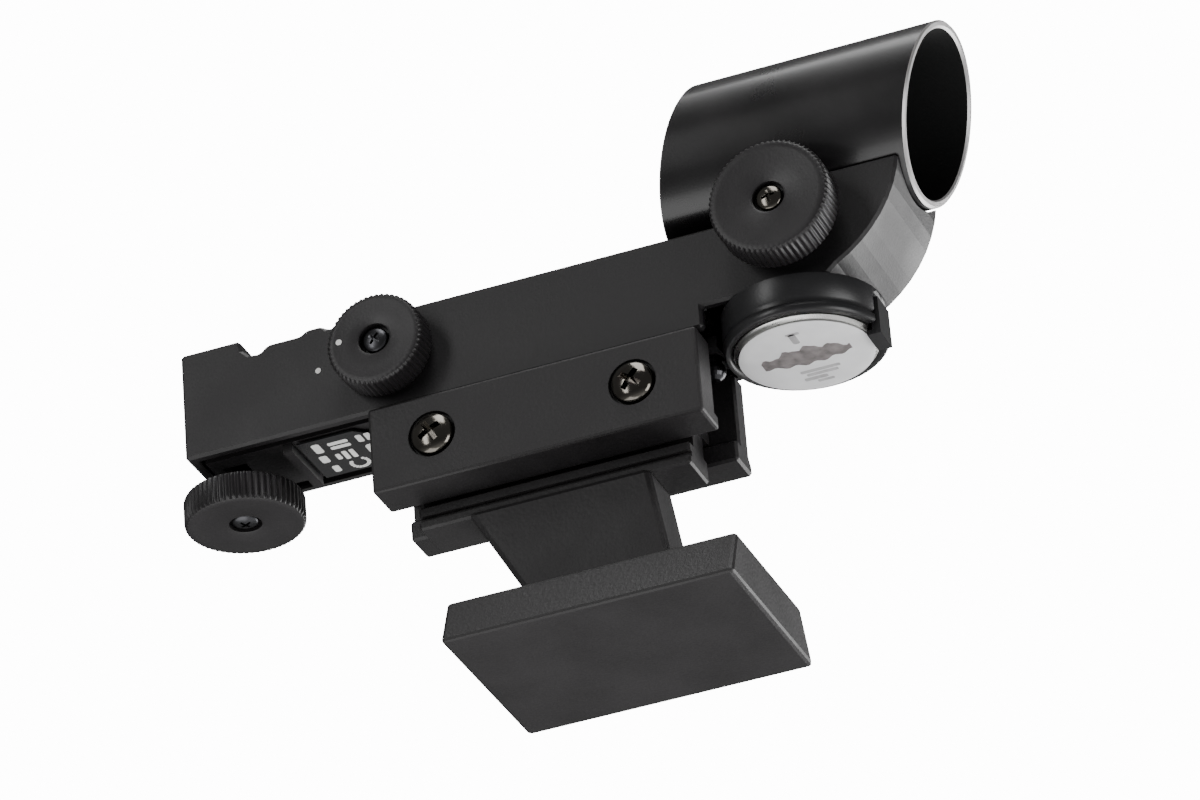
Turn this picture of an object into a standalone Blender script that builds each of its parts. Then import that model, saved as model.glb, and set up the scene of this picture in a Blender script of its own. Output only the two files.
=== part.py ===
"""Red-dot finder scope for a small telescope, in metres, +Z up.

+Y looks at the sky, +X is the finder's right side, and the origin lies on the
bottom face of the mounting foot, below the middle of the clamp rail.
"""
import math

import bmesh
import bpy

MM = 0.001
GAP = 0.3                   # clearance between touching pieces
HOLE_SEGMENTS = 20

# Mounting bracket: dovetail foot, leaning stalk and clamp rail
FOOT_BOTTOM_W = 32.0
FOOT_TOP_W = 25.0
FOOT_H = 7.5
FOOT_REAR = -14.0
FOOT_FRONT = 28.0
STALK_LEFT = -3.5
STALK_RIGHT = 5.5
RAIL_LENGTH = 40.0
RAIL_BOTTOM = 23.9
RAIL_TOP = 32.6
RAIL_LEFT = -2.2
RAIL_RIGHT = 5.0

# Carriage and clamp that grip the rail
CLAMP_LENGTH = 48.6
CLAMP_BOTTOM = 28.0
CARRIAGE_TOP = 41.2
CARRIAGE_LEFT = -7.6
CARRIAGE_RIGHT = 5.2
BLOCK_FRONT = 19.0
JAW_INNER = 5.6
JAW_LIP = 4.3
JAW_OUTER = 11.0
CLAMP_SCREW_Y = (-15.0, 14.6)
CLAMP_SCREW_Z = 34.9
CLAMP_HOLE_R = 1.6
CLAMP_SHANK_R = 1.25
CLAMP_SHANK_END = -5.0
TONGUE_HALF_W = 5.6
TONGUE_REAR = -51.2
TONGUE_BOTTOM = 42.5
TONGUE_TOP = 45.3

# Housing
HALF_W = 8.5
WALL = 1.3
REAR = -53.0
BOTTOM = 42.2
TOP = 57.3
REAR_TOP = 59.1
CEILING = 55.2
FRONT_BOTTOM = 45.4
PEAK_Y = 54.8
PEAK_Z = 61.5

# Swivel on which the housing turns and tilts
PIVOT_Y = 23.0
TILT_Z = 47.0
TILT_PIN_R = 1.0
TILT_HOLE_R = TILT_PIN_R + GAP

# Sight tube
TUBE_R = 12.6
TUBE_INNER_R = 11.5
TUBE_Z = 71.0
TUBE_REAR = 22.8
TUBE_FRONT = 58.8
TUBE_SLANT = math.radians(17.0)
LENS_R = TUBE_INNER_R - GAP
LED_Z = 57.6

# Knobs
ALT_Y, ALT_Z, ALT_R, ALT_H = -47.9, 34.4, 8.6, 4.5
AZ_Y, AZ_Z, AZ_R, AZ_X, AZ_H = -21.6, 50.6, 7.1, 9.0, 4.8
DIM_Y, DIM_Z, DIM_R, DIM_X, DIM_H = 38.0, 55.1, 8.7, 10.8, 5.5
SPINDLE_R = 1.3
POT_SHAFT_R = 1.5
POT_HOLE_R = POT_SHAFT_R + GAP

# Battery
CELL_R = 10.0
CELL_H = 3.2
CELL_Y = 36.4
CELL_Z = 38.9
HOLDER_R = 11.4
HOLDER_BOTTOM = 39.4
HOLDER_TOP = FRONT_BOTTOM - GAP
CONTACT_HOLE_R = 1.3

BLACK = (0.022, 0.022, 0.024)

for old in list(bpy.data.objects):
    bpy.data.objects.remove(old, do_unlink=True)

parts = bpy.data.collections.new("finder_scope")
cutters = bpy.data.collections.new("cutters")
bpy.context.scene.collection.children.link(parts)
bpy.context.scene.collection.children.link(cutters)


def material(name, color, roughness, metallic=0.0, alpha=1.0):
    mat = bpy.data.materials.new(name)
    mat.use_nodes = True
    bsdf = mat.node_tree.nodes["Principled BSDF"]
    bsdf.inputs["Base Color"].default_value = (*color, 1.0)
    bsdf.inputs["Roughness"].default_value = roughness
    bsdf.inputs["Metallic"].default_value = metallic
    bsdf.inputs["Alpha"].default_value = alpha
    return mat


def finish(obj, mat, cutter=False):
    """Link an object into its collection, and give a part its material."""
    if cutter:
        cutters.objects.link(obj)
        obj.hide_render = True
        obj.display_type = "WIRE"
        return obj
    parts.objects.link(obj)
    obj.data.materials.append(mat)
    return obj


def smooth(obj, degrees=35.0):
    obj.data.shade_smooth()
    obj.data.set_sharp_from_angle(angle=math.radians(degrees))


def box(name, x, y, z, mat=None, origin=None):
    """A box between the limits x, y and z, with its object origin at origin."""
    centre = [(a + b) / 2 * MM for a, b in (x, y, z)]
    place = centre if origin is None else [v * MM for v in origin]
    bm = bmesh.new()
    bmesh.ops.create_cube(bm, size=1.0)
    for v in bm.verts:
        for i, (low, high) in enumerate((x, y, z)):
            v.co[i] = v.co[i] * (high - low) * MM + centre[i] - place[i]
    mesh = bpy.data.meshes.new(name)
    bm.to_mesh(mesh)
    bm.free()
    obj = bpy.data.objects.new(name, mesh)
    obj.location = place
    return finish(obj, mat, mat is None)


def cylinder(name, radius, start, end, axis, centre, mat=None, segments=32):
    """A cylinder from start to end along axis, through centre on the two other axes."""
    bm = bmesh.new()
    bmesh.ops.create_cone(bm, cap_ends=True, segments=segments, radius1=radius * MM,
                          radius2=radius * MM, depth=(end - start) * MM)
    mesh = bpy.data.meshes.new(name)
    bm.to_mesh(mesh)
    bm.free()
    obj = bpy.data.objects.new(name, mesh)
    middle = (start + end) / 2
    turn = {"x": (0, math.pi / 2, 0), "y": (math.pi / 2, 0, 0), "z": (0, 0, 0)}[axis]
    place = {"x": (middle, *centre), "y": (centre[0], middle, centre[1]), "z": (*centre, middle)}[axis]
    obj.rotation_euler = turn
    obj.location = [v * MM for v in place]
    finish(obj, mat, mat is None)
    smooth(obj)
    return obj


def outline(name, points, half_thickness, plane, centre, mat=None):
    """A flat outline in the YZ or XZ plane, extruded both ways and welded to a closed mesh."""
    curve = bpy.data.curves.new(name, "CURVE")
    curve.dimensions = "2D"
    curve.fill_mode = "BOTH"
    curve.extrude = half_thickness * MM
    spline = curve.splines.new("POLY")
    spline.points.add(len(points) - 1)
    for point, (u, v) in zip(spline.points, points):
        point.co = (u * MM, v * MM, 0, 1)
    spline.use_cyclic_u = True
    source = bpy.data.objects.new(name + "_outline", curve)
    bpy.context.scene.collection.objects.link(source)
    source.rotation_euler = (math.pi / 2, 0, math.pi / 2 if plane == "YZ" else 0)
    source.location = [v * MM for v in centre]
    graph = bpy.context.evaluated_depsgraph_get()
    mesh = bpy.data.meshes.new_from_object(source.evaluated_get(graph))
    bm = bmesh.new()
    bm.from_mesh(mesh)
    bmesh.ops.remove_doubles(bm, verts=bm.verts, dist=0.000001)
    bmesh.ops.dissolve_limit(bm, angle_limit=0.001, verts=bm.verts, edges=bm.edges)
    bmesh.ops.recalc_face_normals(bm, faces=bm.faces)
    bm.to_mesh(mesh)
    bm.free()
    mesh.name = name
    obj = bpy.data.objects.new(name, mesh)
    obj.matrix_world = source.matrix_world.copy()
    bpy.data.objects.remove(source)
    return finish(obj, mat, mat is None)


def turned(name, profile, axis, place, mat=None, closed=False, segments=36):
    """A turned piece from (radius, height) points that run down its outer side."""
    mesh = bpy.data.meshes.new(name)
    verts = [(r * MM, 0, h * MM) for r, h in profile]
    edges = [(i, i + 1) for i in range(len(verts) - 1)]
    if closed:
        edges.append((len(verts) - 1, 0))
    mesh.from_pydata(verts, edges, [])
    obj = bpy.data.objects.new(name, mesh)
    screw = obj.modifiers.new("turn", "SCREW")
    screw.steps = segments
    screw.render_steps = segments
    screw.use_merge_vertices = True
    screw.merge_threshold = 0.00001
    screw.use_smooth_shade = True
    obj.rotation_euler = {"x": (0, math.pi / 2, 0), "y": (-math.pi / 2, 0, 0), "z": (0, 0, 0)}[axis]
    obj.location = [v * MM for v in place]
    return finish(obj, mat, mat is None)


def cut(obj, cutter, operation="DIFFERENCE"):
    mod = obj.modifiers.new(operation.lower(), "BOOLEAN")
    mod.operation = operation
    mod.object = cutter


def bevel(obj, width=0.5, segments=2):
    mod = obj.modifiers.new("bevel", "BEVEL")
    mod.width = width * MM
    mod.segments = segments
    mod.limit_method = "ANGLE"
    mod.angle_limit = math.radians(40)


def coil(name, radius, wire, start, end, turns, axis, centre, mat):
    """A helical compression spring as a beveled poly curve."""
    per_turn = 10
    count = int(turns * per_turn) + 1
    curve = bpy.data.curves.new(name, "CURVE")
    curve.dimensions = "3D"
    curve.bevel_depth = wire / 2 * MM
    curve.bevel_resolution = 2
    curve.use_fill_caps = True
    spline = curve.splines.new("POLY")
    spline.points.add(count - 1)
    low, high = start + wire / 2, end - wire / 2
    for i, point in enumerate(spline.points):
        angle = math.tau * i / per_turn
        along = low + (high - low) * i / (count - 1)
        a, b = radius * math.cos(angle), radius * math.sin(angle)
        at = (a, b, along) if axis == "z" else (along, a, b)
        point.co = (*[v * MM for v in at], 1)
    obj = bpy.data.objects.new(name, curve)
    obj.location = [v * MM for v in ((*centre, 0) if axis == "z" else (0, *centre))]
    return finish(obj, mat)


def arc(centre, radius, start, end, steps):
    """Points along an arc, from the angle start to the angle end in degrees."""
    points = []
    for i in range(steps + 1):
        angle = math.radians(start + (end - start) * i / steps)
        points.append((centre[0] + radius * math.cos(angle), centre[1] + radius * math.sin(angle)))
    return points


def build_bracket():
    mat = material("bracket", BLACK, 0.5)
    groove_low, groove_high = RAIL_BOTTOM + 1.2, RAIL_BOTTOM + 2.0
    neck_left, neck_right = -1.0, 3.0
    end = RAIL_LENGTH / 2
    bracket = box("mounting_bracket", (-3.7, CARRIAGE_RIGHT), (-end, end), (30.6, RAIL_TOP), mat,
                  origin=(0, 0, 0))
    rail = box("rail_shape", (RAIL_LEFT, RAIL_RIGHT), (-end, end), (RAIL_BOTTOM, 27.4))
    bevel(rail, 0.3, 1)
    neck = box("neck_shape", (neck_left, neck_right), (-end + 0.1, end - 0.1), (27.0, 31.0))
    stalk = outline("stalk_shape", [(-12.8, 24.6), (-1.8, 4.0), (17.0, 4.0), (14.0, 24.6)],
                    (STALK_RIGHT - STALK_LEFT) / 2, "YZ", ((STALK_LEFT + STALK_RIGHT) / 2, 0, 0))
    bevel(stalk, 0.8, 2)
    foot = outline("foot_shape", [(-FOOT_BOTTOM_W / 2, 0), (FOOT_BOTTOM_W / 2, 0),
                                  (FOOT_TOP_W / 2, FOOT_H), (-FOOT_TOP_W / 2, FOOT_H)],
                   (FOOT_FRONT - FOOT_REAR) / 2, "XZ", (0, (FOOT_FRONT + FOOT_REAR) / 2, 0))
    bevel(foot, 0.6, 2)
    for shape in (neck, rail, stalk, foot):
        cut(bracket, shape, "UNION")
    groove = box("rail_groove", (RAIL_RIGHT - 0.8, RAIL_RIGHT + 1.0), (-RAIL_LENGTH, RAIL_LENGTH),
                 (groove_low, groove_high))
    cut(bracket, groove)


def build_carriage():
    mat = material("carriage", BLACK, 0.55)
    end = CLAMP_LENGTH / 2
    block_bottom = RAIL_TOP + 0.6
    hook = [(CARRIAGE_LEFT, CARRIAGE_TOP), (CARRIAGE_LEFT, 29.6), (CARRIAGE_LEFT - 0.9, 28.4),
            (CARRIAGE_LEFT - 0.9, CLAMP_BOTTOM - 1.0), (-2.7, CLAMP_BOTTOM - 1.0), (-2.7, 30.2),
            (-4.1, 30.2), (-4.1, CARRIAGE_TOP)]
    carriage = outline("base_carriage", hook, end, "XZ", (0, 0, 0), mat)
    bevel(carriage, 0.35, 1)
    # Joined shapes are staggered by a fraction of a millimetre, so that no two faces coincide
    block = box("block_shape", (-6.0, CARRIAGE_RIGHT), (-end + 0.1, BLOCK_FRONT),
                (block_bottom, CARRIAGE_TOP - 0.05))
    riser = box("riser_shape", (-TONGUE_HALF_W + 0.2, CARRIAGE_RIGHT - 0.4), (-end + 1, BLOCK_FRONT - 1),
                (CARRIAGE_TOP - 1, TONGUE_TOP))
    tongue = box("tongue_shape", (-TONGUE_HALF_W, TONGUE_HALF_W), (TONGUE_REAR, -10.0),
                 (TONGUE_BOTTOM, TONGUE_TOP - 0.05))
    rib = box("rib_shape", (-TONGUE_HALF_W + 0.1, TONGUE_HALF_W - 0.1), (-39.4, -38.0),
              (41.0, TONGUE_BOTTOM + 1))
    lug = box("lug_shape", (-2.6, 2.6), (AZ_Y - 4.0, AZ_Y + 4.0), (TONGUE_TOP - 1, 53.9))
    nose = box("nose_shape", (-3.4, 3.4), (BLOCK_FRONT - 3, PIVOT_Y + 1.7), (41.6, 43.3))
    for shape in (block, riser, tongue, rib, lug, nose):
        cut(carriage, shape, "UNION")
    for i, y in enumerate(CLAMP_SCREW_Y):
        hole = cylinder(f"clamp_hole_{i}", CLAMP_HOLE_R, -5.4, 6.0, "x", (y, CLAMP_SCREW_Z),
                        segments=HOLE_SEGMENTS)
        cut(carriage, hole)
    slot = box("altitude_slot", (-3.0, 3.0), (ALT_Y - 1.8, ALT_Y + 1.8), (TONGUE_BOTTOM - 1, TONGUE_TOP + 1))
    window = box("azimuth_slot", (-4.0, 4.0), (AZ_Y - 1.7, AZ_Y + 1.7), (AZ_Z - 2.4, AZ_Z + 2.4))
    bore = cylinder("swivel_hole", 1.5, 40.0, 44.0, "z", (0, PIVOT_Y), segments=HOLE_SEGMENTS)
    for shape in (slot, window, bore):
        cut(carriage, shape)
    label = box("label_plate", (-TONGUE_HALF_W + 0.3, TONGUE_HALF_W - 0.3), (-37.4, -25.2),
                (41.9, 42.2), material("label", (0.02, 0.02, 0.022), 0.35))
    corner = box("label_corner", (3.4, 8.0), (-28.2, -24.0), (41.0, 43.0))
    corner.rotation_euler = (0, 0, math.radians(45))
    cut(label, corner)


def build_clamp():
    mat = material("jaw", BLACK, 0.55)
    profile = [(JAW_INNER, CARRIAGE_TOP), (JAW_INNER, 30.2), (JAW_LIP, 30.2), (JAW_LIP, CLAMP_BOTTOM),
               (JAW_OUTER, CLAMP_BOTTOM), (JAW_OUTER, CARRIAGE_TOP)]
    jaw = outline("clamp_jaw", profile, CLAMP_LENGTH / 2, "XZ", (0, 0, 0), mat)
    bevel(jaw, 0.45, 2)
    steel = material("screw_steel", (0.55, 0.53, 0.5), 0.28, 1.0)
    for label, y in zip(("rear", "front"), CLAMP_SCREW_Y):
        centre = (y, CLAMP_SCREW_Z)
        hole = cylinder(f"jaw_hole_{label}", CLAMP_HOLE_R, 4.0, 12.0, "x", centre, segments=HOLE_SEGMENTS)
        cut(jaw, hole)
        cut(jaw, cylinder(f"jaw_recess_{label}", 3.5, 10.0, 12.0, "x", centre))
        head = [(0, 12.3), (1.3, 12.2), (2.4, 11.8), (3.05, 11.1), (3.1, 10.3), (CLAMP_SHANK_R, 10.3),
                (CLAMP_SHANK_R, CLAMP_SHANK_END + 0.4), (0.8, CLAMP_SHANK_END), (0, CLAMP_SHANK_END)]
        screw = turned(f"clamp_screw_{label}", head, "x", (0, *centre), steel, segments=24)
        for turn in (0.0, math.pi / 2):
            blade = box(f"cross_{label}_{round(turn)}", (11.3, 13.0), (-1.7, 1.7), (-0.3, 0.3))
            blade.location = [v * MM for v in (12.15, *centre)]
            blade.rotation_euler = (turn, 0, 0)
            cut(screw, blade)


def build_swivel():
    steel = material("swivel_steel", (0.12, 0.12, 0.12), 0.3, 1.0)
    ball_z, ball_r = 39.7, 1.6
    ball = [(ball_r * math.sin(a), ball_z - ball_r * math.cos(a))
            for a in [math.radians(d) for d in (130, 110, 90, 70, 50, 25)]]
    profile = [(0, 45.0), (1.2, 45.0), *ball, (0, ball_z - ball_r)]
    post = turned("swivel_post", profile, "z", (0, PIVOT_Y, 0), steel, segments=24)
    lug = box("post_lug", (-3.5, 3.5), (PIVOT_Y - 1.7, PIVOT_Y + 1.7), (43.7, 50.6))
    cut(post, lug, "UNION")
    cut(post, cylinder("tilt_hole", TILT_HOLE_R, -5.0, 5.0, "x", (PIVOT_Y, TILT_Z), segments=HOLE_SEGMENTS))
    cylinder("tilt_pin", TILT_PIN_R, -7.9, 7.9, "x", (PIVOT_Y, TILT_Z),
             material("pin_steel", (0.5, 0.5, 0.5), 0.3, 1.0), segments=HOLE_SEGMENTS)


def build_housing():
    mat = material("housing", BLACK, 0.55)
    chin = arc((PEAK_Y - 19.5, 64.0), 19.6, -8.0, -62.0, 8)
    side = [(REAR, BOTTOM), (REAR, REAR_TOP), (-43.9, REAR_TOP), (-43.6, 57.4), (-42.6, 56.4),
            (-41.0, 56.2), (-39.8, TOP), (-34.6, TOP), (-33.9, TOP + 0.7), (-31.4, TOP + 0.7),
            (-30.7, TOP), (30.4, TOP), (30.4, PEAK_Z), *chin, (43.0, FRONT_BOTTOM),
            (24.6, FRONT_BOTTOM), (24.6, BOTTOM)]
    housing = outline("housing", side, HALF_W, "YZ", (0, 0, 0), mat)
    bevel(housing, 0.4, 1)
    inner = HALF_W - WALL
    cavity = box("cavity", (-inner, inner), (REAR + WALL, 27.4), (BOTTOM - 1, CEILING))
    front = box("front_cavity", (-inner, inner), (27.0, 44.5), (FRONT_BOTTOM + 1.5, 55.4))
    pocket = box("pot_pocket", (2.9, inner), (DIM_Y - 4.4, DIM_Y + 4.4), (50.0, 57.4))
    wire_way = cylinder("contact_way", CONTACT_HOLE_R, 40.0, 48.0, "z", (0, CELL_Y), segments=16)
    saddle = cylinder("saddle", TUBE_R + GAP, 10.0, 70.0, "y", (0, TUBE_Z), segments=96)
    pin = cylinder("pin_hole", TILT_HOLE_R, -8.2, 8.2, "x", (PIVOT_Y, TILT_Z), segments=HOLE_SEGMENTS)
    shaft = cylinder("pot_hole", POT_HOLE_R, 5.0, 12.0, "x", (DIM_Y, DIM_Z), segments=HOLE_SEGMENTS)
    azimuth = cylinder("azimuth_hole", SPINDLE_R + GAP, 5.0, 12.0, "x", (AZ_Y, AZ_Z), segments=HOLE_SEGMENTS)
    altitude = cylinder("altitude_hole", SPINDLE_R + GAP, 50.0, 56.2, "z", (0, ALT_Y),
                        segments=HOLE_SEGMENTS)
    lamp = cylinder("lamp_hole", 1.0, -50.0, -42.0, "y", (0, LED_Z), segments=16)
    for shape in (cavity, front, pocket, wire_way, saddle, pin, shaft, azimuth, altitude, lamp):
        cut(housing, shape)


def knob_profile(radius, height, hub_r, hub_h, shaft_r, shaft_depth):
    """A knob from its front face at height down to its hub, with a shaft hole from behind."""
    recess = 2.35
    return [(recess, height - 0.25), (radius - 1.1, height), (radius - 0.35, height - 0.25),
            (radius, height - 0.8), (radius, 0.5), (radius - 0.5, 0), (hub_r, 0), (hub_r, -hub_h),
            (shaft_r + GAP, -hub_h), (shaft_r + GAP, shaft_depth), (1.1, shaft_depth),
            (1.1, height - 1.6), (recess, height - 1.6)]


def screw_profile(height, shank):
    """A small pan screw in a knob's recess, with its head just under the face."""
    return [(0, height - 0.15), (1.0, height - 0.25), (1.75, height - 0.6), (1.9, height - 1.3),
            (0.8, height - 1.3), (0.8, height - 1.3 - shank), (0, height - 1.3 - shank)]


def build_knobs():
    rubber = material("knob", (0.03, 0.03, 0.032), 0.45)
    steel = material("knob_screw", (0.6, 0.58, 0.55), 0.25, 1.0)
    spindle = material("spindle", (0.25, 0.25, 0.26), 0.35, 1.0)
    blackened = material("dark_screw", (0.06, 0.06, 0.06), 0.35, 1.0)
    spring = material("spring", (0.5, 0.5, 0.52), 0.3, 1.0)
    shaft_depth = 2.4

    # Altitude knob: its face looks down, so it is turned over
    profile = knob_profile(ALT_R, ALT_H, 3.2, 0.9, SPINDLE_R, shaft_depth)
    knob = turned("altitude_knob", profile, "z", (0, ALT_Y, ALT_Z + ALT_H), rubber, closed=True)
    knob.rotation_euler = (math.pi, 0, 0)
    screw = turned("altitude_knob_screw", screw_profile(ALT_H, 0.6), "z", (0, ALT_Y, ALT_Z + ALT_H),
                   blackened, segments=HOLE_SEGMENTS)
    screw.rotation_euler = (math.pi, 0, 0)
    cylinder("altitude_spindle", SPINDLE_R, ALT_Z + ALT_H - shaft_depth + GAP, 55.9, "z",
             (0, ALT_Y), spindle, HOLE_SEGMENTS)
    coil("altitude_spring", 3.1, 0.6, TONGUE_TOP + GAP, CEILING - GAP, 4, "z", (0, ALT_Y), spring)

    profile = knob_profile(AZ_R, AZ_H, 3.2, AZ_X - HALF_W - 0.2, SPINDLE_R, shaft_depth)
    turned("azimuth_knob", profile, "x", (AZ_X, AZ_Y, AZ_Z), rubber, closed=True)
    turned("azimuth_knob_screw", screw_profile(AZ_H, 0.9), "x", (AZ_X, AZ_Y, AZ_Z), blackened,
           segments=HOLE_SEGMENTS)
    cylinder("azimuth_spindle", SPINDLE_R, -6.2, AZ_X + shaft_depth - GAP, "x", (AZ_Y, AZ_Z), spindle,
             HOLE_SEGMENTS)
    coil("azimuth_spring", 2.6, 0.5, -6.9, -3.7, 2.5, "x", (AZ_Y, AZ_Z), spring)

    profile = knob_profile(DIM_R, DIM_H, 4.2, DIM_X - HALF_W - GAP, POT_SHAFT_R, 3.0)
    turned("brightness_knob", profile, "x", (DIM_X, DIM_Y, DIM_Z), rubber, closed=True, segments=48)
    turned("brightness_knob_screw", screw_profile(DIM_H, 0.8), "x", (DIM_X, DIM_Y, DIM_Z), steel,
           segments=HOLE_SEGMENTS)


def build_tube():
    tube = turned("sight_tube", [(TUBE_R, 70.0), (TUBE_R, 5.0), (TUBE_INNER_R, 5.0), (TUBE_INNER_R, 70.0)],
                  "y", (0, 0, TUBE_Z), material("tube", BLACK, 0.32), closed=True, segments=72)
    for label, y, side in (("front", TUBE_FRONT, 1), ("rear", TUBE_REAR, -1)):
        half = 30.0
        blade = box(f"tube_trim_{label}", (-20, 20), (-half, half), (-40, 40))
        blade.location = [v * MM for v in (0, y + side * half / math.cos(TUBE_SLANT), TUBE_Z)]
        blade.rotation_euler = (-TUBE_SLANT, 0, 0)
        cut(tube, blade)
    glass = material("window", (0.55, 0.3, 0.25), 0.05, 0.0, 0.4)
    cylinder("window_lens", LENS_R, 29.2, 30.8, "y", (0, TUBE_Z), glass, 64)
    ring = [(LENS_R, 28.9), (LENS_R, 27.6), (LENS_R - 1.1, 27.6), (LENS_R - 1.1, 28.9)]
    turned("lens_ring", ring, "y", (0, 0, TUBE_Z), material("ring", BLACK, 0.4), closed=True, segments=64)


def build_electronics():
    inner = HALF_W - WALL
    cylinder("led_emitter", 0.7, -49.4, -44.6, "y", (0, LED_Z), material("led", (0.6, 0.05, 0.04), 0.2), 16)
    board = box("circuit_board", (-6.2, 6.2), (-10.0, 19.0), (52.8, 54.2),
                material("board", (0.03, 0.16, 0.07), 0.4))
    bevel(board, 0.2, 1)
    body = box("potentiometer_body", (3.3, inner - GAP), (DIM_Y - 3.8, DIM_Y + 3.8), (50.6, 57.0),
               material("pot_body", (0.05, 0.09, 0.2), 0.4))
    cut(body, cylinder("pot_bore", POT_HOLE_R, 4.6, 9.0, "x", (DIM_Y, DIM_Z), segments=HOLE_SEGMENTS))
    cylinder("potentiometer_shaft", POT_SHAFT_R, 5.0, DIM_X + 2.7, "x", (DIM_Y, DIM_Z),
             material("pot_shaft", (0.6, 0.6, 0.62), 0.3, 1.0), 24)


def build_battery():
    mat = material("holder", BLACK, 0.4)
    floor = HOLDER_TOP - 1.1
    cup = [(HOLDER_R, HOLDER_TOP), (HOLDER_R, HOLDER_BOTTOM + 2.0), (HOLDER_R - 0.5, HOLDER_BOTTOM + 1.6),
           (HOLDER_R, HOLDER_BOTTOM + 1.2), (HOLDER_R, HOLDER_BOTTOM + 0.3),
           (HOLDER_R - 0.3, HOLDER_BOTTOM), (CELL_R + GAP, HOLDER_BOTTOM), (CELL_R + GAP, floor),
           (CONTACT_HOLE_R, floor), (CONTACT_HOLE_R, HOLDER_TOP)]
    holder = turned("battery_holder", cup, "z", (0, CELL_Y, 0), mat, closed=True, segments=48)
    clip_slot = box("clip_slot", (-2.8, 2.8), (CELL_Y + HOLDER_R - 1.5, 55.0), (38.0, 44.0))
    cut(holder, clip_slot)
    cell = [(0, CELL_Z + CELL_H), (CELL_R - 1.0, CELL_Z + CELL_H), (CELL_R - 0.8, CELL_Z + CELL_H - 0.4),
            (CELL_R, CELL_Z + CELL_H - 0.5), (CELL_R, CELL_Z + 0.4), (CELL_R - 0.4, CELL_Z), (0, CELL_Z)]
    turned("battery", cell, "z", (0, CELL_Y, 0), material("cell", (0.7, 0.7, 0.7), 0.25, 1.0), segments=48)
    cylinder("battery_label", CELL_R - 0.6, CELL_Z - 0.5, CELL_Z - 0.25, "z", (0, CELL_Y),
             material("white_label", (0.8, 0.8, 0.8), 0.5), 48)
    edge = CELL_Y + HOLDER_R
    clip = [(edge + 0.1, 43.6), (edge - 1.1, 43.6), (edge - 1.1, CELL_Z - 0.3), (edge - 1.9, CELL_Z - 0.3),
            (edge - 1.9, CELL_Z - 1.0), (edge + 0.1, CELL_Z - 1.0)]
    outline("battery_clip", clip, 2.4, "YZ", (0, 0, 0), material("clip", BLACK, 0.4))
    leaf = cylinder("battery_contact", 0.9, 43.2, 47.4, "z", (0, CELL_Y),
                    material("contact", (0.7, 0.6, 0.35), 0.3, 1.0), 16)
    strip = box("contact_strip", (-1.5, 1.5), (CELL_Y - 5.0, CELL_Y + 5.0), (43.2, 43.7))
    cut(leaf, strip, "UNION")


build_bracket()
build_carriage()
build_clamp()
build_swivel()
build_housing()
build_knobs()
build_tube()
build_electronics()
build_battery()
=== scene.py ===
"""The looks of the red-dot finder: fine knobs, tube, screws, prints, materials, light and camera."""
import math

import bmesh
import bpy
from mathutils import Matrix, Vector


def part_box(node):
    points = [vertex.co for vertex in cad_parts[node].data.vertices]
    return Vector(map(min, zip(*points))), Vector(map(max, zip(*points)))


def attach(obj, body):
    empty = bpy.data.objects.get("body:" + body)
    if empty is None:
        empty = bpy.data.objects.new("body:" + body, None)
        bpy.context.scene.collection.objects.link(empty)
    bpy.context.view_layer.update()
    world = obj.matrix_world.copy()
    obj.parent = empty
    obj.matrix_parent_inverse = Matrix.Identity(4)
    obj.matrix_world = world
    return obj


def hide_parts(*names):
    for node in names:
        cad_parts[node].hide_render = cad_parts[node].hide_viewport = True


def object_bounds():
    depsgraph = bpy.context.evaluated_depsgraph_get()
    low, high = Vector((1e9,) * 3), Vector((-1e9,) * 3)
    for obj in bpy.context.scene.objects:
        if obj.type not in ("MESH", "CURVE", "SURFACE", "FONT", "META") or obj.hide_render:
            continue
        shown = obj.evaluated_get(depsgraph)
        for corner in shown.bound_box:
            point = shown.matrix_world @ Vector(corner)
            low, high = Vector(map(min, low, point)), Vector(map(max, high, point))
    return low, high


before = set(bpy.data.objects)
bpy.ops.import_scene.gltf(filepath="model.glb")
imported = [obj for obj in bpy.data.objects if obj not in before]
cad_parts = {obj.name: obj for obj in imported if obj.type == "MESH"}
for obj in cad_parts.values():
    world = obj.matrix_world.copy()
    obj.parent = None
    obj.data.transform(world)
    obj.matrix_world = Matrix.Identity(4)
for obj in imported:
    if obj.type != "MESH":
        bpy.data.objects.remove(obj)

CAD_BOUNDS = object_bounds()
MM = 0.001

# The camera: turn, height below the horizon, roll and place relative to the object
CAMERA_TURN = math.radians(17.63)
CAMERA_DIP = math.radians(25.87)
CAMERA_ROLL = math.radians(5.4)
CAMERA_OFFSET = Vector((29.71, -42.01, 908.34)) * MM       # along right, up and back
CAMERA_ZERO = Vector((-2.5, 0.0, 28.0)) * MM
CAMERA_LENS = 198.0
CAMERA_AIM_SHIFT = Vector((0, 3.0, -2.0)) * MM             # from the middle of the object's box

TUBE_SLANT = math.radians(17.0)
TUBE_WALL = 1.1 * MM
GAP = 0.3 * MM
SPINDLE_R = 1.3 * MM
POT_SHAFT_R = 1.5 * MM
SHARP_ANGLE = 30.0          # degrees
NOISE_LOW, NOISE_HIGH = 0.3, 0.7        # the part of the noise's range that is used
WORLD_LIGHT = 0.13
BACKDROP_LIGHT = 14.0
LIGHT_AIM = (0.0, 0.0, 0.05)
FLOOR_Z = -0.78
FLOOR_SIZE = 6.0


# ---------------------------------------------------------------- materials

def new_material(name):
    mat = bpy.data.materials.new(name)
    mat.use_nodes = True
    return mat, mat.node_tree, mat.node_tree.nodes["Principled BSDF"]


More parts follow.
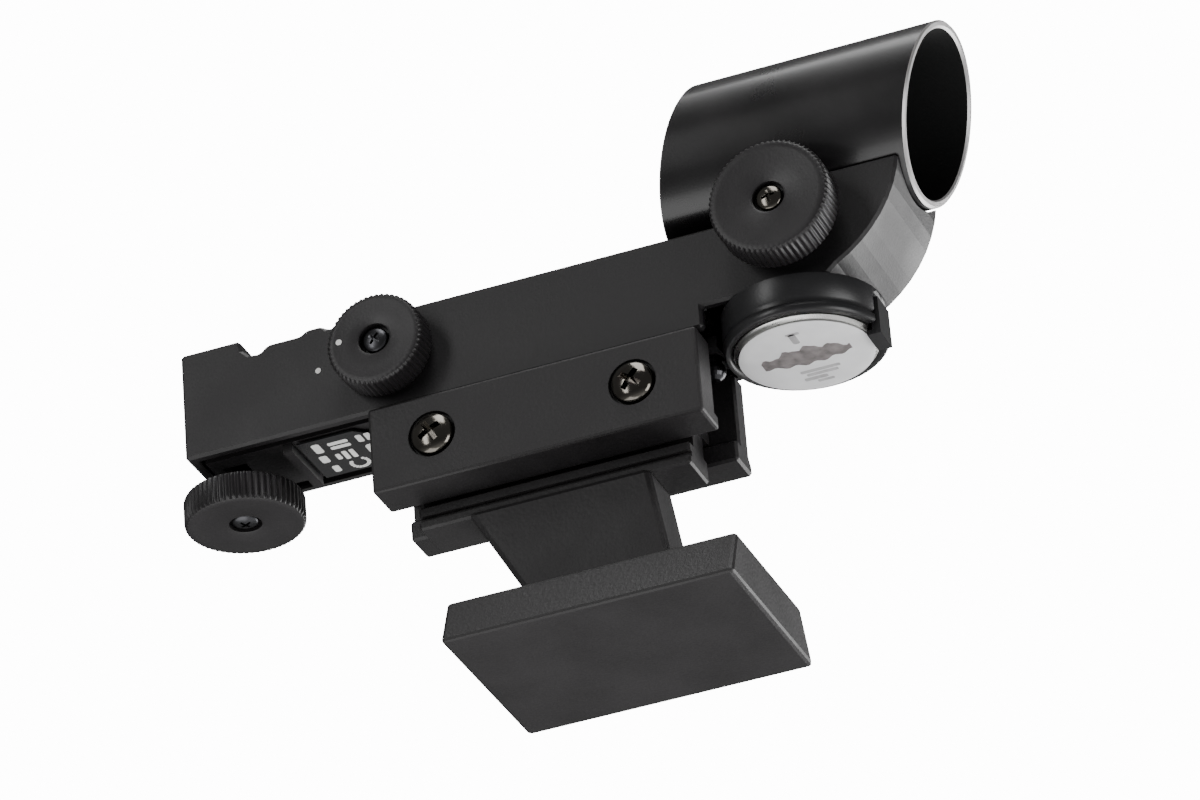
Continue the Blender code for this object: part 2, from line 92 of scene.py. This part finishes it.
def noise(tree, scale, detail=3.0, stretch=None):
    """A noise texture in object space, with a size of about 1/scale metres."""
    coords = tree.nodes.new("ShaderNodeTexCoord")
    tex = tree.nodes.new("ShaderNodeTexNoise")
    tex.inputs["Scale"].default_value = scale
    tex.inputs["Detail"].default_value = detail
    if stretch is None:
        tree.links.new(coords.outputs["Object"], tex.inputs["Vector"])
        return tex
    mapping = tree.nodes.new("ShaderNodeMapping")
    mapping.inputs["Scale"].default_value = stretch
    tree.links.new(coords.outputs["Object"], mapping.inputs["Vector"])
    tree.links.new(mapping.outputs["Vector"], tex.inputs["Vector"])
    return tex


def ramp(tree, tex, low, high):
    """Colours from low to high by the noise."""
    node = tree.nodes.new("ShaderNodeValToRGB")
    node.color_ramp.elements[0].position = NOISE_LOW
    node.color_ramp.elements[1].position = NOISE_HIGH
    node.color_ramp.elements[0].color = (*low, 1)
    node.color_ramp.elements[1].color = (*high, 1)
    tree.links.new(tex.outputs["Fac"], node.inputs["Fac"])
    return node


def spread(tree, tex, low, high):
    """A value from low to high by the noise."""
    node = tree.nodes.new("ShaderNodeMapRange")
    node.inputs["From Min"].default_value = NOISE_LOW
    node.inputs["From Max"].default_value = NOISE_HIGH
    node.inputs["To Min"].default_value = low
    node.inputs["To Max"].default_value = high
    tree.links.new(tex.outputs["Fac"], node.inputs["Value"])
    return node


def surface(name, color, rough, metallic=0.0, vary=0.25, grain=1800.0, bump=0.25, depth=0.00006,
            cloud=90.0, stretch=None, specular=0.5, coat=0.0):
    """A finish with mottled colour, uneven gloss and a fine moulded, sprayed or brushed grain."""
    mat, tree, bsdf = new_material(name)
    large = noise(tree, cloud, 4.0)
    fine = noise(tree, grain, 2.0, stretch)
    low = [c * (1 - vary) for c in color]
    high = [min(1.0, c * (1 + vary)) for c in color]
    tree.links.new(ramp(tree, large, low, high).outputs["Color"], bsdf.inputs["Base Color"])
    gloss = spread(tree, large, rough[0], rough[1])
    tree.links.new(gloss.outputs["Result"], bsdf.inputs["Roughness"])
    bumps = tree.nodes.new("ShaderNodeBump")
    bumps.inputs["Strength"].default_value = bump
    bumps.inputs["Distance"].default_value = depth
    tree.links.new(fine.outputs["Fac"], bumps.inputs["Height"])
    tree.links.new(bumps.outputs["Normal"], bsdf.inputs["Normal"])
    bsdf.inputs["Metallic"].default_value = metallic
    bsdf.inputs["Specular IOR Level"].default_value = specular
    bsdf.inputs["Coat Weight"].default_value = coat
    bsdf.inputs["Coat Roughness"].default_value = 0.12
    return mat


plastic = surface("moulded_black", (0.009, 0.0082, 0.009), (0.42, 0.54), grain=2600.0, bump=0.35)
cast = surface("coated_black", (0.0105, 0.0094, 0.0102), (0.46, 0.6), grain=1900.0, bump=0.5, depth=0.00009)
tube_paint = surface("tube_satin", (0.0085, 0.0078, 0.0085), (0.26, 0.34), grain=3200.0, bump=0.12,
                     coat=0.15)
bore_paint = surface("bore_matt", (0.006, 0.006, 0.006), (0.75, 0.9), grain=2200.0, bump=0.4, specular=0.2)
rim_metal = surface("bare_rim", (0.46, 0.45, 0.45), (0.3, 0.45), metallic=0.6, vary=0.15, bump=0.2)
knob_black = surface("knob_black", (0.012, 0.0108, 0.0118), (0.36, 0.48), grain=2400.0, bump=0.3)
holder_black = surface("holder_satin", (0.016, 0.016, 0.017), (0.3, 0.42), grain=2600.0, bump=0.15)
steel = surface("nickel", (0.5, 0.47, 0.41), (0.14, 0.26), metallic=1.0, vary=0.12, grain=1500.0,
                stretch=(1, 6, 6), bump=0.1)
screw_nickel = surface("dark_nickel", (0.14, 0.13, 0.115), (0.1, 0.2), metallic=1.0, vary=0.12,
                       grain=1500.0, stretch=(1, 6, 6), bump=0.1)
dark_steel = surface("blackened_steel", (0.07, 0.07, 0.075), (0.25, 0.4), metallic=1.0, bump=0.15)
spring_wire = surface("spring_wire", (0.5, 0.5, 0.52), (0.2, 0.3), metallic=1.0, bump=0.1)
cell_steel = surface("cell_steel", (0.68, 0.68, 0.66), (0.22, 0.36), metallic=1.0, vary=0.08,
                     stretch=(1, 12, 1))
label_black = surface("label_black", (0.012, 0.012, 0.013), (0.25, 0.35), bump=0.08, coat=0.3)
ink_white = surface("white_ink", (0.88, 0.88, 0.86), (0.4, 0.55), vary=0.06, bump=0.15)
paper = surface("sticker_white", (0.86, 0.86, 0.87), (0.32, 0.48), vary=0.05, cloud=260.0, bump=0.12)
ink_grey = surface("grey_print", (0.2, 0.18, 0.18), (0.4, 0.5), vary=0.35, cloud=700.0, bump=0.1)
ink_pale = surface("pale_print", (0.47, 0.46, 0.47), (0.4, 0.5), vary=0.2, cloud=700.0, bump=0.1)
board_green = surface("board_green", (0.02, 0.12, 0.05), (0.25, 0.4), cloud=500.0, vary=0.4, coat=0.4)
pot_blue = surface("pot_blue", (0.03, 0.07, 0.2), (0.3, 0.42), bump=0.2)
contact_brass = surface("contact_plate", (0.72, 0.6, 0.33), (0.2, 0.3), metallic=1.0, vary=0.1)
lamp_red = surface("lamp_red", (0.55, 0.03, 0.02), (0.08, 0.14), bump=0.05, coat=0.5)


def coated_glass():
    """Clear window with a faint, uneven red coating."""
    mat, tree, bsdf = new_material("coated_window")
    tint = ramp(tree, noise(tree, 60.0), (0.9, 0.62, 0.56), (0.95, 0.72, 0.66))
    tree.links.new(tint.outputs["Color"], bsdf.inputs["Base Color"])
    bsdf.inputs["Transmission Weight"].default_value = 0.92
    bsdf.inputs["Roughness"].default_value = 0.02
    bsdf.inputs["IOR"].default_value = 1.5
    return mat


window_glass = coated_glass()


# ---------------------------------------------------------------- mesh tools

def add(name, bm, body, mats, replaces=(), matrix=None, sharp=32.0):
    """Turns a bmesh into a piece that rides on a CAD body, with edges over sharp degrees kept crisp."""
    bmesh.ops.recalc_face_normals(bm, faces=bm.faces)
    mesh = bpy.data.meshes.new(name)
    bm.to_mesh(mesh)
    bm.free()
    if matrix is not None:
        mesh.transform(matrix)
    mesh.shade_smooth()
    mesh.set_sharp_from_angle(angle=math.radians(sharp))
    for mat in mats:
        mesh.materials.append(mat)
    obj = bpy.data.objects.new(name, mesh)
    bpy.context.scene.collection.objects.link(obj)
    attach(obj, body)
    if replaces:
        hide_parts(*replaces)
    return obj


def revolve(profile, count, closed, radius_at=None):
    """A turned bmesh about Z from (radius, height) points; radius_at may change a radius by angle."""
    bm = bmesh.new()
    rings = []
    for index, (radius, height) in enumerate(profile):
        if radius == 0:
            rings.append([bm.verts.new((0, 0, height))])
            continue
        ring = []
        for j in range(count):
            angle = math.tau * j / count
            r = radius_at(index, radius, j) if radius_at else radius
            ring.append(bm.verts.new((r * math.cos(angle), r * math.sin(angle), height)))
        rings.append(ring)
    pairs = list(zip(rings, rings[1:]))
    if closed:
        pairs.append((rings[-1], rings[0]))
    for a, b in pairs:
        for j in range(count):
            k = (j + 1) % count
            if len(a) == 1:
                bm.faces.new((a[0], b[k], b[j]))
            elif len(b) == 1:
                bm.faces.new((a[j], a[k], b[0]))
            else:
                bm.faces.new((a[j], a[k], b[k], b[j]))
    return bm


def axis_matrix(axis, place):
    """Turns +Z of a turned piece to the axis +X or -Z, and moves it to place."""
    turn = {"+X": Matrix.Rotation(math.pi / 2, 4, "Y"), "-Z": Matrix.Rotation(math.pi, 4, "X")}[axis]
    return Matrix.Translation(place) @ turn


# ---------------------------------------------------------------- knobs

def knob(node, body, axis, hub, shaft, teeth, tooth_depth, dish):
    """A knob with a knurled rim, a rounded shoulder and a shallow dished face.

    hub is the radius and height of the boss behind it, shaft the radius and depth of the shaft's hole.
    """
    hub_radius, hub_height = hub
    shaft_radius, shaft_depth = shaft
    low, high = (Vector(v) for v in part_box(node))
    centre = (low + high) / 2
    along = "XYZ".index(axis[1])
    height = high[along] - low[along]
    across = high[1] - low[1] if axis == "+X" else high[0] - low[0]
    radius = across / 2
    top = height - hub_height
    place = centre.copy()
    place[along] = low[along] + hub_height if axis[0] == "+" else high[along] - hub_height
    recess = 2.35 * MM
    recess_floor = top - 1.6 * MM
    screw_hole = 1.1 * MM
    rounding = 0.7 * MM
    shoulder = [(radius - (1 - math.sin(a)) * rounding, top - (1 - math.cos(a)) * rounding)
                for a in [math.radians(d) for d in (0, 30, 60, 90)]]
    face = [(recess, top - dish), (recess + 0.35 * MM, top - dish + 0.12 * MM),
            (radius * 0.62, top - dish * 0.6), (radius * 0.84, top - 0.02 * MM)]
    rim_low = [(radius, rounding), (radius - 0.25 * MM, 0.25 * MM), (radius - rounding, 0)]
    back = [(hub_radius, 0), (hub_radius, -hub_height), (shaft_radius + GAP, -hub_height),
            (shaft_radius + GAP, shaft_depth), (screw_hole, shaft_depth), (screw_hole, recess_floor),
            (recess, recess_floor)]
    profile = face + shoulder + rim_low + back
    full_depth = {len(face) + 2, len(face) + 3, len(face) + 4}
    part_depth = {len(face) + 1, len(face) + 5}
    wave = (0.0, 0.0, 0.45, 1.0, 1.0, 0.45)         # one tooth of the knurl

    def knurl(index, r, j):
        share = 1.0 if index in full_depth else 0.45 if index in part_depth else 0.0
        return r - tooth_depth * wave[j % len(wave)] * share

    bm = revolve(profile, teeth * len(wave), True, knurl)
    add(node + "_knurled", bm, body, [knob_black], (node,), axis_matrix(axis, place), 26.0)


knob("altitude_knob", "altitude_adjuster", "-Z", (3.2 * MM, 0.9 * MM), (SPINDLE_R, 2.4 * MM),
     60, 0.28 * MM, 0.35 * MM)
knob("azimuth_knob", "azimuth_adjuster", "+X", (3.2 * MM, 0.3 * MM), (SPINDLE_R, 2.4 * MM),
     54, 0.22 * MM, 0.3 * MM)
knob("brightness_knob", "brightness_control", "+X", (4.2 * MM, 2.0 * MM), (POT_SHAFT_R, 3.0 * MM),
     66, 0.24 * MM, 0.45 * MM)


# ---------------------------------------------------------------- screws

def cross_recess(reach, width, depth):
    """A tapered four-winged bit, closed, from a little above z = 0 down to its tip at -depth."""
    bm = bmesh.new()
    half = width / 2
    rim, tip = [], []
    for side in range(4):
        turn = Matrix.Rotation(side * math.pi / 2, 3, "Z")
        for x, y in ((half, -half), (reach, -half), (reach, half)):
            tip_x = half * 0.8 if x == half else reach * 0.42
            rim.append(bm.verts.new(turn @ Vector((x, y, depth * 0.6))))
            tip.append(bm.verts.new(turn @ Vector((tip_x, y * 0.7, -depth))))
    bm.faces.new(rim)
    bm.faces.new(list(reversed(tip)))
    for i in range(len(rim)):
        k = (i + 1) % len(rim)
        bm.faces.new((rim[i], tip[i], tip[k], rim[k]))
    bmesh.ops.recalc_face_normals(bm, faces=bm.faces)
    return bm


def new_object(name, bm):
    mesh = bpy.data.meshes.new(name)
    bm.to_mesh(mesh)
    bm.free()
    obj = bpy.data.objects.new(name, mesh)
    bpy.context.scene.collection.objects.link(obj)
    return obj


def screw(node, body, mat, matrix, profile, cross, turn):
    """A finely turned screw with a cross recess; cross is (height, reach, width, depth)."""
    height, reach, width, depth = cross
    bm = revolve(profile, 72, False)
    bmesh.ops.recalc_face_normals(bm, faces=bm.faces)
    blank = new_object(node + "_blank", bm)
    bit = new_object(node + "_bit", cross_recess(reach, width, depth))
    bit.location.z = height
    bit.rotation_euler.z = turn
    blank.modifiers.new("cross", "BOOLEAN").object = bit
    graph = bpy.context.evaluated_depsgraph_get()
    finished = bpy.data.meshes.new_from_object(blank.evaluated_get(graph))
    bpy.data.objects.remove(bit)
    bpy.data.objects.remove(blank)
    bm = bmesh.new()
    bm.from_mesh(finished)
    add(node + "_turned", bm, body, [mat], (node,), matrix, SHARP_ANGLE)


def dome(radius, height, sag, steps=7):
    """The profile of a domed head from its middle to its edge."""
    points = [(0.0, height)]
    for i in range(1, steps + 1):
        angle = i / steps * math.pi / 2
        points.append((radius * math.sin(angle), height - sag * (1 - math.cos(angle))))
    return points


def clamp_screw(node, body, turn):
    """A domed screw that holds the loose jaw."""
    low, high = (Vector(v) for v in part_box(node))
    centre = (low + high) / 2
    length = high.x - low.x
    head_r = (high.z - low.z) / 2
    under_head = length - 2.0 * MM
    shank = 1.25 * MM
    profile = dome(head_r, length, 1.4 * MM) + [(head_r, under_head), (shank, under_head),
                                                (shank, 0.4 * MM), (shank - 0.45 * MM, 0), (0, 0)]
    matrix = axis_matrix("+X", Vector((low.x, centre.y, centre.z)))
    cross = (length, 2.35 * MM, 0.95 * MM, 1.6 * MM)
    screw(node, body, screw_nickel, matrix, profile, cross, turn)


def small_screw(node, body, axis, mat, turn):
    """The little screw in the middle of a knob."""
    low, high = (Vector(v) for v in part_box(node))
    centre = (low + high) / 2
    along = "XYZ".index(axis[1])
    length = high[along] - low[along]
    head_r = (high[1] - low[1]) / 2
    place = centre.copy()
    place[along] = low[along] if axis[0] == "+" else high[along]
    under_head = length - 1.15 * MM
    shank = 0.8 * MM
    profile = dome(head_r, length, 0.7 * MM) + [(head_r, under_head), (shank, under_head),
                                                (shank, 0), (0, 0)]
    cross = (length, 1.3 * MM, 0.45 * MM, 0.7 * MM)
    screw(node, body, mat, axis_matrix(axis, place), profile, cross, turn)


# The last value is how far each cross is turned, in radians
clamp_screw("clamp_screw_rear", "rear_clamp_screw", math.radians(28))
clamp_screw("clamp_screw_front", "front_clamp_screw", math.radians(52))
small_screw("altitude_knob_screw", "altitude_adjuster", "-Z", dark_steel, 0.4)
small_screw("azimuth_knob_screw", "azimuth_adjuster", "+X", dark_steel, 0.9)
small_screw("brightness_knob_screw", "brightness_control", "+X", screw_nickel, 0.2)


# ---------------------------------------------------------------- sight tube

def sight_tube():
    """The slanted tube with a bright chamfered rim at each end and a matt bore."""
    low, high = (Vector(v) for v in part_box("sight_tube"))
    radius = (high.x - low.x) / 2
    inner = radius - TUBE_WALL
    centre_z = (low.z + high.z) / 2
    lean = math.tan(TUBE_SLANT)
    front = high.y - radius * lean
    rear = low.y + radius * lean
    chamfer = 0.28 * MM
    stations = 24
    step = (front - rear - 2 * chamfer) / stations
    outer = [(radius, rear + chamfer + step * i) for i in range(stations + 1)]
    bore = [(inner, y) for _, y in reversed(outer)]
    profile = outer + [(radius - chamfer, front), (inner + chamfer, front)] + bore + \
        [(inner + chamfer, rear), (radius - chamfer, rear)]
    count = 160
    bm = bmesh.new()
    rings = []
    for r, y in profile:
        share = (y - rear) / (front - rear)
        ring = []
        for j in range(count):
            angle = math.tau * j / count
            x, z = r * math.cos(angle), r * math.sin(angle)
            ring.append(bm.verts.new((x, y + z * lean, centre_z + z)))
        rings.append(ring)
    bore_start = len(outer) + 1
    for i, ring in enumerate(rings):
        after = rings[(i + 1) % len(rings)]
        for j in range(count):
            k = (j + 1) % count
            face = bm.faces.new((ring[j], ring[k], after[k], after[j]))
            if bore_start < i < bore_start + len(bore):
                face.material_index = 1
            elif i >= len(outer) - 1:
                face.material_index = 2
    add("sight_tube_fine", bm, "housing_body", [tube_paint, bore_paint, rim_metal],
        ("sight_tube",), None, 24.0)


sight_tube()


# ---------------------------------------------------------------- prints and marks

def disc(bm, centre, radius, thickness, count=28):
    """A thin crowned disc whose back lies at centre and which stands out along +X."""
    turn = Vector((1, 0, 0)).to_track_quat("Z", "Y").to_matrix().to_4x4()
    place = Matrix.Translation(centre) @ turn
    edge = [(radius, 0.0), (radius, thickness * 0.6), (radius * 0.9, thickness)]
    base = bm.verts.new(place @ Vector((0, 0, 0)))
    rings = []
    for r, h in edge:
        rings.append([bm.verts.new(place @ Vector((r * math.cos(math.tau * j / count),
                                                   r * math.sin(math.tau * j / count), h)))
                      for j in range(count)])
    top = bm.verts.new(place @ Vector((0, 0, thickness)))
    for j in range(count):
        k = (j + 1) % count
        bm.faces.new((base, rings[0][k], rings[0][j]))
        bm.faces.new((rings[0][j], rings[0][k], rings[1][k], rings[1][j]))
        bm.faces.new((rings[1][j], rings[1][k], rings[2][k], rings[2][j]))
        bm.faces.new((rings[2][j], rings[2][k], top))


def printed(bm, points, z, thickness):
    """A flat printed shape under a face at height z, from a closed outline in X and Y."""
    top = [bm.verts.new((x, y, z)) for x, y in points]
    low = [bm.verts.new((x, y, z - thickness)) for x, y in points]
    bm.faces.new(top)
    bm.faces.new(list(reversed(low)))
    for i in range(len(points)):
        k = (i + 1) % len(points)
        bm.faces.new((top[i], low[i], low[k], top[k]))


def rounded(cx, cy, half_w, half_h, corner, steps=5):
    """The outline of a rectangle with round corners."""
    points = []
    for sx, sy, start in ((1, 1, 0), (-1, 1, 90), (-1, -1, 180), (1, -1, 270)):
        for i in range(steps + 1):
            angle = math.radians(start + 90 * i / steps)
            points.append((cx + sx * (half_w - corner) + corner * math.cos(angle),
                           cy + sy * (half_h - corner) + corner * math.sin(angle)))
    return points


def index_dots():
    """White setting dots on the housing wall and on the azimuth knob's face."""
    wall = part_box("housing")[1][0]
    knob_low, knob_high = (Vector(v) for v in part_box("azimuth_knob"))
    centre = (knob_low + knob_high) / 2
    bm = bmesh.new()
    place = (wall, centre.y - 10.6 * MM, centre.z + 0.3 * MM)
    disc(bm, place, 0.42 * MM, 0.06 * MM)
    add("index_dot_housing", bm, "housing_body", [ink_white])
    bm = bmesh.new()
    place = (knob_high.x - 0.1 * MM, centre.y - 5.2 * MM, centre.z + 0.7 * MM)
    disc(bm, place, 0.45 * MM, 0.07 * MM)
    add("index_dot_knob", bm, "azimuth_adjuster", [ink_white])


def label_marks():
    """Generic white shapes on the dark label: bars, blocks and an open ring."""
    low, high = (Vector(v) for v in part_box("label_plate"))
    z, thick = low.z, 0.05 * MM
    bm = bmesh.new()
    mid_x = (low.x + high.x) / 2
    # Centre and half size of each bar, in mm
    for x, y, w, h in ((3.0, 9.9, 1.0, 0.45), (3.0, 8.6, 1.0, 0.45), (3.4, 5.4, 0.4, 1.5),
                       (2.2, 5.4, 0.4, 1.5), (-0.4, 9.3, 1.3, 0.9), (-0.4, 6.2, 1.2, 0.35),
                       (-0.4, 5.1, 1.2, 0.35), (-0.4, 4.0, 0.8, 0.35), (-3.2, 9.4, 0.5, 1.0),
                       (3.0, 2.2, 1.3, 0.6), (-0.2, 1.9, 1.0, 0.6), (-3.4, 2.4, 0.9, 0.5)):
        printed(bm, rounded(mid_x + x * MM, low.y + y * MM, w * MM, h * MM, min(w, h) * 0.6 * MM), z, thick)
    ring_x, ring_y, ring_r = mid_x - 3.3 * MM, low.y + 6.0 * MM, 1.25 * MM
    for j in range(14):
        angle = math.tau * j / 18 + 0.7
        printed(bm, rounded(ring_x + ring_r * math.cos(angle), ring_y + ring_r * math.sin(angle),
                            0.27 * MM, 0.27 * MM, 0.2 * MM, 3), z, thick)
    add("label_print", bm, "carriage", [ink_white], sharp=SHARP_ANGLE)


def battery_sticker():
    """The round sticker over the cell, with a rounded edge and a faint generic picture."""
    low, high = (Vector(v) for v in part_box("battery_label"))
    centre = (low + high) / 2
    radius = (high.x - low.x) / 2
    height = high.z - low.z
    crown = ((0.0, 0.0), (0.55, 0.0), (0.86, 0.02), (0.96, 0.06), (1.0, 0.14))
    profile = [(radius * share, height - drop * MM) for share, drop in crown]
    profile += [(radius, 0.02 * MM), (radius - 0.1 * MM, 0.0), (0.0, 0.0)]
    bm = revolve(profile, 120, False)
    add("battery_sticker", bm, "housing_body", [paper], ("battery_label",),
        axis_matrix("-Z", Vector((centre.x, centre.y, high.z))))
    z, thick = low.z, 0.02 * MM
    bm = bmesh.new()
    steps = 28
    half_length = 6.4
    hill = []
    for i in range(steps + 1):
        x = half_length * (2 * i / steps - 1)
        hill.append((x, 1.5 + 1.1 * math.cos(x * 0.34) + 0.45 * math.sin(x * 1.9) + 0.2 * math.sin(x * 4.1)))
    base = [(x, -1.0 - 0.9 * math.cos(x * 0.28) + 0.3 * math.sin(x * 2.3)) for x, _ in reversed(hill)]
    printed(bm, [(centre.x + y * MM, centre.y + x * MM) for x, y in hill + base], z, thick)
    add("sticker_picture", bm, "housing_body", [ink_grey], sharp=SHARP_ANGLE)
    bm = bmesh.new()
    # Centre and half size of each bar, in mm
    for x, y, w, h in ((5.4, 0.0, 1.4, 0.5), (-3.9, 0.5, 0.35, 2.9), (-4.9, 0.5, 0.35, 2.3),
                       (-6.0, -0.8, 0.4, 1.7), (6.7, 0.2, 0.3, 1.0), (-7.0, 0.3, 0.3, 1.2)):
        outline = rounded(centre.x + x * MM, centre.y + y * MM, w * MM, h * MM, min(w, h) * 0.7 * MM)
        printed(bm, outline, z, thick)
    add("sticker_bars", bm, "housing_body", [ink_pale], sharp=SHARP_ANGLE)


index_dots()
label_marks()
battery_sticker()


# ---------------------------------------------------------------- carried-over CAD pieces

def welded(node, body, mat):
    """A copy of a CAD piece, joined along its edges so that its round faces shade as round."""
    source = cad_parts[node]
    bm = bmesh.new()
    bm.from_mesh(source.data)
    bmesh.ops.remove_doubles(bm, verts=bm.verts, dist=0.001 * MM)
    piece = add(node + "_welded", bm, body, [mat], (node,), source.matrix_world, SHARP_ANGLE)
    if "custom_normal" in piece.data.attributes:
        piece.data.attributes.remove(piece.data.attributes["custom_normal"])


welded("battery_holder", "housing_body", holder_black)
welded("battery", "housing_body", cell_steel)

CARRIED = {
    "mounting_bracket": cast, "base_carriage": cast, "clamp_jaw": cast, "label_plate": label_black,
    "swivel_post": dark_steel, "tilt_pin": steel, "housing": plastic, "altitude_spindle": dark_steel,
    "altitude_spring": spring_wire, "azimuth_spindle": dark_steel, "azimuth_spring": spring_wire,
    "window_lens": window_glass, "lens_ring": bore_paint, "led_emitter": lamp_red,
    "circuit_board": board_green, "potentiometer_body": pot_blue, "potentiometer_shaft": steel,
    "battery_clip": holder_black, "battery_contact": contact_brass,
}
for node, mat in CARRIED.items():
    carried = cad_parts[node].data
    carried.materials.clear()
    carried.materials.append(mat)
    carried.shade_smooth()
    carried.set_sharp_from_angle(angle=math.radians(SHARP_ANGLE))


# ---------------------------------------------------------------- stage, light and camera

def stage():
    """A floor far below the object, and a white backdrop that the camera sees brighter than it lights."""
    bm = bmesh.new()
    bmesh.ops.create_grid(bm, x_segments=4, y_segments=4, size=FLOOR_SIZE)
    mesh = bpy.data.meshes.new("floor")
    bm.to_mesh(mesh)
    bm.free()
    floor = bpy.data.objects.new("floor", mesh)
    floor.location = (0, 0, FLOOR_Z)
    mesh.materials.append(surface("pale_floor", (0.86, 0.86, 0.86), (0.7, 0.8), vary=0.01, bump=0.0))
    bpy.context.scene.collection.objects.link(floor)

    world = bpy.data.worlds.new("studio")
    bpy.context.scene.world = world
    world.use_nodes = True
    tree = world.node_tree
    background = tree.nodes["Background"]
    background.inputs["Color"].default_value = (1, 1, 1, 1)
    path = tree.nodes.new("ShaderNodeLightPath")
    level = tree.nodes.new("ShaderNodeMapRange")
    level.inputs["To Min"].default_value = WORLD_LIGHT
    level.inputs["To Max"].default_value = BACKDROP_LIGHT
    tree.links.new(path.outputs["Is Camera Ray"], level.inputs["Value"])
    tree.links.new(level.outputs["Result"], background.inputs["Strength"])


def lamp(name, place, size, power, size_y=None):
    """An area light at place, turned to the object; size_y makes it a strip."""
    data = bpy.data.lights.new(name, "AREA")
    data.energy = power
    data.size = size
    if size_y:
        data.shape = "RECTANGLE"
        data.size_y = size_y
    obj = bpy.data.objects.new(name, data)
    obj.location = place
    obj.rotation_euler = (Vector(LIGHT_AIM) - Vector(place)).to_track_quat("-Z", "Y").to_euler()
    bpy.context.scene.collection.objects.link(obj)


def lights():
    lamp("overhead", (0.3, 0.1, 1.1), 0.5, 9.0, 1.1)
    lamp("front_left", (-0.9, 0.6, -0.1), 0.8, 15.0)
    lamp("front_low", (0.3, 1.0, -0.35), 0.6, 6.0)
    lamp("right_strip", (1.0, -0.55, 0.25), 0.25, 4.0, 0.9)
    lamp("under", (0.1, -0.2, -0.7), 0.9, 5.0)


def camera():
    """Puts the camera at its fitted place and aims it near the object's middle."""
    ce, se = math.cos(CAMERA_DIP), math.sin(CAMERA_DIP)
    back = Vector((ce * math.cos(CAMERA_TURN), ce * math.sin(CAMERA_TURN), -se))
    level = Vector((-math.sin(CAMERA_TURN), math.cos(CAMERA_TURN), 0))
    rise = back.cross(level)
    right = level * math.cos(CAMERA_ROLL) - rise * math.sin(CAMERA_ROLL)
    up = level * math.sin(CAMERA_ROLL) + rise * math.cos(CAMERA_ROLL)
    place = right * CAMERA_OFFSET.x + up * CAMERA_OFFSET.y + back * CAMERA_OFFSET.z + CAMERA_ZERO
    low, high = (Vector(v) for v in CAD_BOUNDS)
    aim = (low + high) / 2 + CAMERA_AIM_SHIFT
    new_back = (place - aim).normalized()
    new_right = up.cross(new_back).normalized()
    new_up = new_back.cross(new_right)
    data = bpy.data.cameras.new("camera")
    data.sensor_width = 36.0
    data.lens = CAMERA_LENS
    data.clip_start = 0.01
    obj = bpy.data.objects.new("camera", data)
    rotation = Matrix((new_right, new_up, new_back)).transposed().to_4x4()
    obj.matrix_world = Matrix.Translation(place) @ rotation
    bpy.context.scene.collection.objects.link(obj)
    bpy.context.scene.camera = obj


stage()
lights()
camera()
